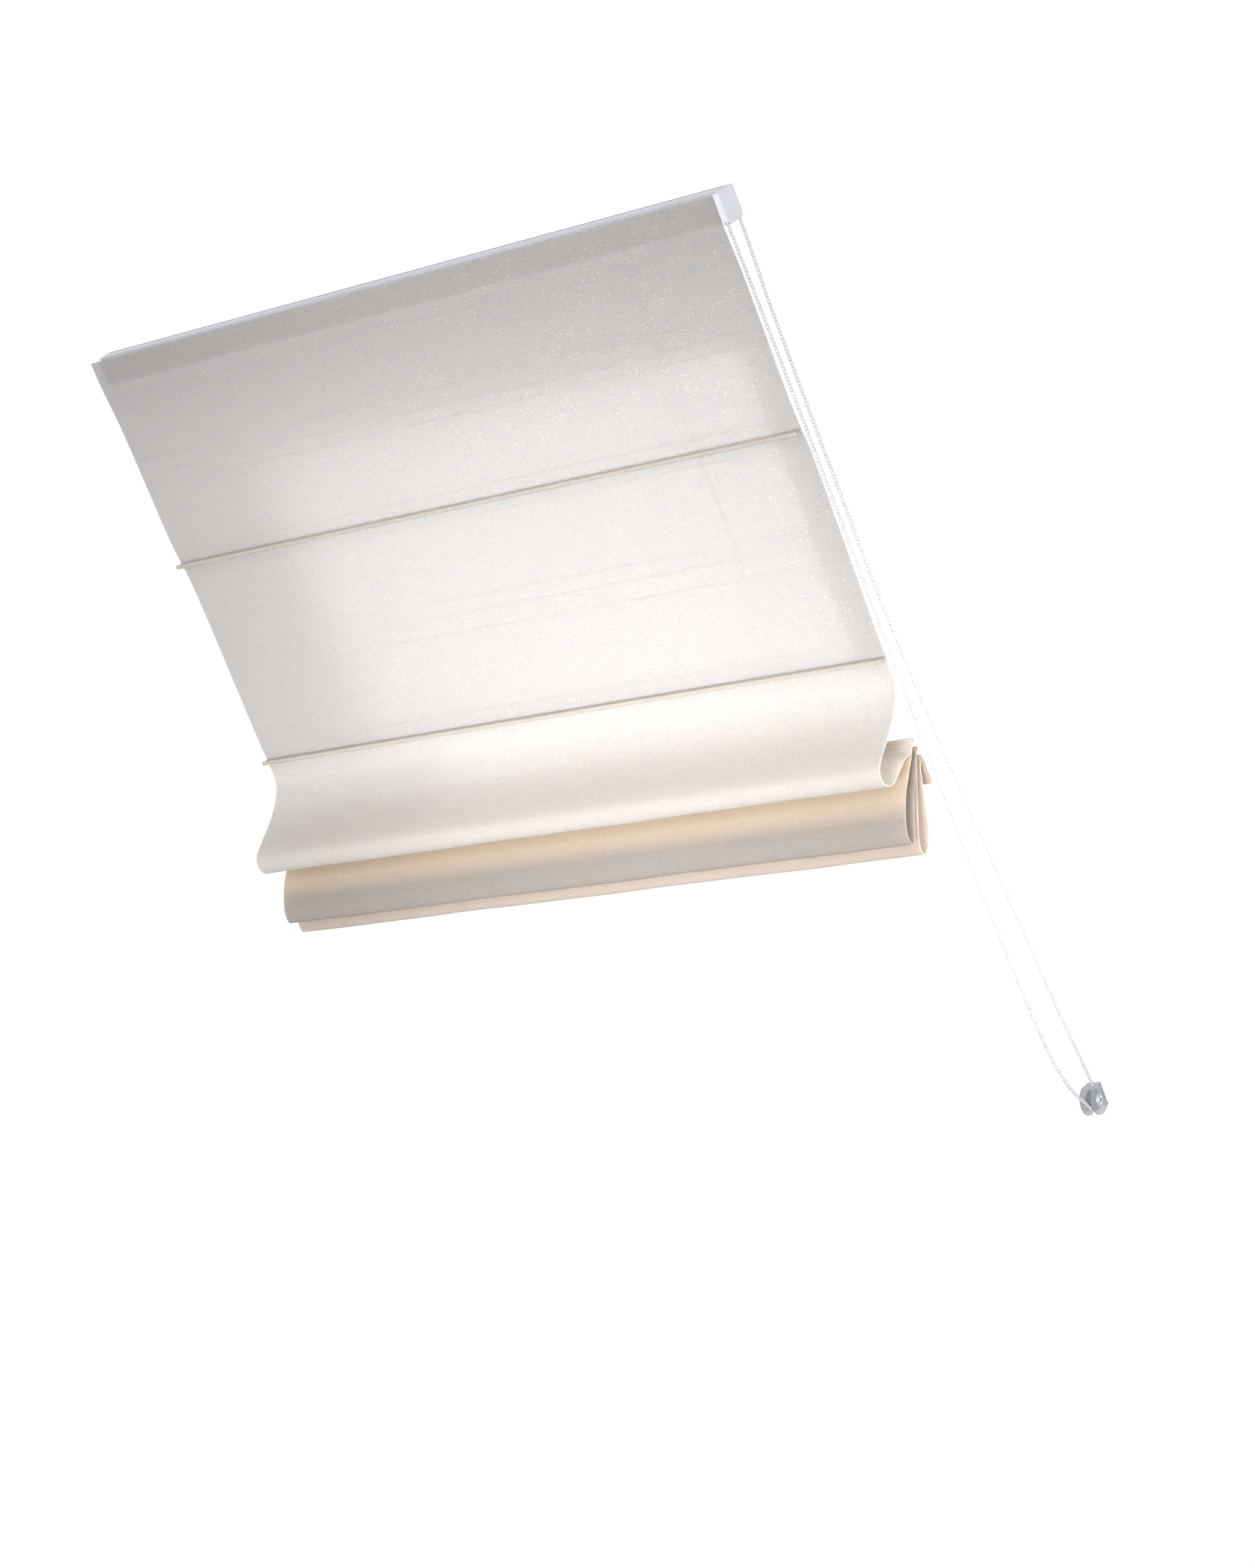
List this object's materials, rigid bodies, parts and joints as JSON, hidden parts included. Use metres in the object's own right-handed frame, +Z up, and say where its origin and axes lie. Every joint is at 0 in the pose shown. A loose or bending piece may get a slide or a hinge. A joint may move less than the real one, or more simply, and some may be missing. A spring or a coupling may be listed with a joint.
{
  "type": "skylight window blind",
  "caption": "Roman blind for a sloping roof window: a cloth on thin rods under a white headrail, raised by an endless bead chain held taut by a ceiling tensioner.",
  "frame": {"origin": "centre of the middle ceiling clip's face, on the sloping ceiling above the window", "axes": "+Z up; +X along the headrail to the chain's side; -Y into the room; the roof slopes down towards +Y at 50.75 degrees"},
  "size_m": [1.0654, 0.8097, 0.9719],
  "materials": {
    "fabric": "linen-look weave",
    "white_rail": "white powder coat",
    "white_plastic": "moulded, white",
    "tape": "hook-and-loop tape",
    "clear_plastic": "clear, greyish",
    "bead_plastic": "white beads",
    "fibreglass": "drawn rod",
    "aluminium": "mill",
    "steel": "drawn",
    "chrome": "bright",
    "cord": "braided cord"
  },
  "bodies": {
    "headrail": {"headrail": "white_rail", "end_cap_left": "white_plastic", "drive_housing": "white_plastic", "drive_cover": "white_plastic", "ceiling_clip_left": "white_plastic", "ceiling_clip_centre": "white_plastic", "ceiling_clip_right": "white_plastic", "hook_tape": "tape", "loop_tape": "tape", "cord_cradle_left": "white_plastic", "cord_cradle_right": "white_plastic", "lift_cord_left": "cord", "lift_cord_right": "cord", "tensioner_body": "clear_plastic", "tensioner_screw": "chrome", "bead_chain": "bead_plastic"},
    "drive": {"drive_shaft": "steel", "drive_sprocket": "white_plastic", "cord_spool_left": "white_plastic", "cord_spool_right": "white_plastic"},
    "pulley": {"tensioner_pulley": "clear_plastic"},
    "rod_1": {"rod_1": "fibreglass", "rod_pocket_1": "fabric", "cord_ring_1_left": "clear_plastic", "cord_ring_1_right": "clear_plastic"},
    "fold_1_front": {"fabric_1_upper": "fabric"},
    "fold_1_back": {"fabric_1_lower": "fabric"},
    "rod_2": {"rod_2": "fibreglass", "rod_pocket_2": "fabric", "cord_ring_2_left": "clear_plastic", "cord_ring_2_right": "clear_plastic"},
    "fold_2_front": {"fabric_2_upper": "fabric"},
    "fold_2_back": {"fabric_2_lower": "fabric"},
    "rod_3": {"rod_3": "fibreglass", "rod_pocket_3": "fabric", "cord_ring_3_left": "clear_plastic", "cord_ring_3_right": "clear_plastic"},
    "fold_3_front": {"fabric_3_upper": "fabric"},
    "fold_3_back": {"fabric_3_lower": "fabric"},
    "rod_4": {"rod_4": "fibreglass", "rod_pocket_4": "fabric", "cord_ring_4_left": "clear_plastic", "cord_ring_4_right": "clear_plastic"},
    "fold_4_front": {"fabric_4_upper": "fabric"},
    "fold_4_back": {"fabric_4_lower": "fabric"},
    "rod_5": {"rod_5": "fibreglass", "rod_pocket_5": "fabric", "cord_ring_5_left": "clear_plastic", "cord_ring_5_right": "clear_plastic", "hem_sleeve": "fabric", "hem_bar": "aluminium", "cord_stop_left": "white_plastic", "cord_stop_right": "white_plastic"},
    "fold_5_front": {"fabric_5_upper": "fabric"},
    "fold_5_back": {"fabric_5_lower": "fabric"}
  },
  "joints": [
    {"name": "rod_1_slide", "type": "slide", "parent": "headrail", "child": "rod_1", "axis": [0, 0.6327, -0.7744], "range_m": [-0.2487, 0], "deforming": ["fabric_1_upper", "fabric_1_lower", "lift_cord_left", "lift_cord_right"]},
    {"name": "rod_2_slide", "type": "slide", "parent": "rod_1", "child": "rod_2", "axis": [0, 0.6327, -0.7744], "range_m": [-0.2823, 0], "deforming": ["fabric_2_upper", "fabric_2_lower"]},
    {"name": "rod_3_slide", "type": "slide", "parent": "rod_2", "child": "rod_3", "axis": [0, 0.6327, -0.7744], "range_m": [-0.0923, 0.1737], "deforming": ["fabric_3_upper", "fabric_3_lower"]},
    {"name": "rod_4_slide", "type": "slide", "parent": "rod_3", "child": "rod_4", "axis": [0, 0.6327, -0.7744], "range_m": [0, 0.2455], "deforming": ["fabric_4_upper", "fabric_4_lower"]},
    {"name": "rod_5_slide", "type": "slide", "parent": "rod_4", "child": "rod_5", "axis": [0, 0.6327, -0.7744], "range_m": [0, 0.2455], "deforming": ["fabric_5_upper", "fabric_5_lower"]},
    {"name": "fold_1_front_slide", "type": "slide", "parent": "headrail", "child": "fold_1_front", "axis": [0, 0.9414, 0.3372], "range_m": [-0.085, 0]},
    {"name": "fold_1_back_slide", "type": "slide", "parent": "rod_1", "child": "fold_1_back", "axis": [0, -0.3366, 0.9416], "range_m": [-0.236, 0]},
    {"name": "fold_2_front_slide", "type": "slide", "parent": "rod_1", "child": "fold_2_front", "axis": [0, 0.9414, 0.3372], "range_m": [-0.096, 0]},
    {"name": "fold_2_back_slide", "type": "slide", "parent": "rod_2", "child": "fold_2_back", "axis": [0, -0.3366, 0.9416], "range_m": [-0.268, 0]},
    {"name": "fold_3_front_slide", "type": "slide", "parent": "rod_2", "child": "fold_3_front", "axis": [0, 0.9227, 0.3856], "range_m": [-0.041, 0.075]},
    {"name": "fold_3_back_slide", "type": "slide", "parent": "rod_3", "child": "fold_3_back", "axis": [0, -0.2507, 0.9681], "range_m": [-0.091, 0.17]},
    {"name": "fold_4_front_slide", "type": "slide", "parent": "rod_3", "child": "fold_4_front", "axis": [0, 0.986, 0.1668], "range_m": [0, 0.084]},
    {"name": "fold_4_back_slide", "type": "slide", "parent": "rod_4", "child": "fold_4_back", "axis": [0, -0.3415, 0.9399], "range_m": [0, 0.218]},
    {"name": "fold_5_front_slide", "type": "slide", "parent": "rod_4", "child": "fold_5_front", "axis": [0, 0.986, 0.1668], "range_m": [0, 0.084]},
    {"name": "fold_5_back_slide", "type": "slide", "parent": "rod_5", "child": "fold_5_back", "axis": [0, -0.3415, 0.9399], "range_m": [0, 0.218]},
    {"name": "drive_turn", "type": "hinge", "parent": "headrail", "child": "drive", "pos_m": [0, -0.01376, -0.01318], "axis": [1, 0, 0], "range_deg": [-2166, 1152]},
    {"name": "pulley_turn", "type": "hinge", "parent": "headrail", "child": "pulley", "pos_m": [0.554, 0.74711, -0.94048], "axis": [1, 0, 0], "range_deg": [-2406, 1280]}
  ],
  "couplings": [
    {"joint": "fold_1_front_slide", "follows": "rod_1_slide", "ratio": 0.33513},
    {"joint": "fold_1_back_slide", "follows": "rod_1_slide", "ratio": 0.94238},
    {"joint": "fold_2_front_slide", "follows": "rod_2_slide", "ratio": 0.33513},
    {"joint": "fold_2_back_slide", "follows": "rod_2_slide", "ratio": 0.94238},
    {"joint": "fold_3_front_slide", "follows": "rod_3_slide", "ratio": 0.42269},
    {"joint": "fold_3_back_slide", "follows": "rod_3_slide", "ratio": 0.9683},
    {"joint": "fold_4_front_slide", "follows": "rod_4_slide", "ratio": 0.3357},
    {"joint": "fold_4_back_slide", "follows": "rod_4_slide", "ratio": 0.8835},
    {"joint": "fold_5_front_slide", "follows": "rod_5_slide", "ratio": 0.3357},
    {"joint": "fold_5_back_slide", "follows": "rod_5_slide", "ratio": 0.8835},
    {"joint": "drive_turn", "follows": "rod_3_slide", "rad_per_m": -217.39},
    {"joint": "pulley_turn", "follows": "rod_3_slide", "rad_per_m": -241.55}
  ]
}
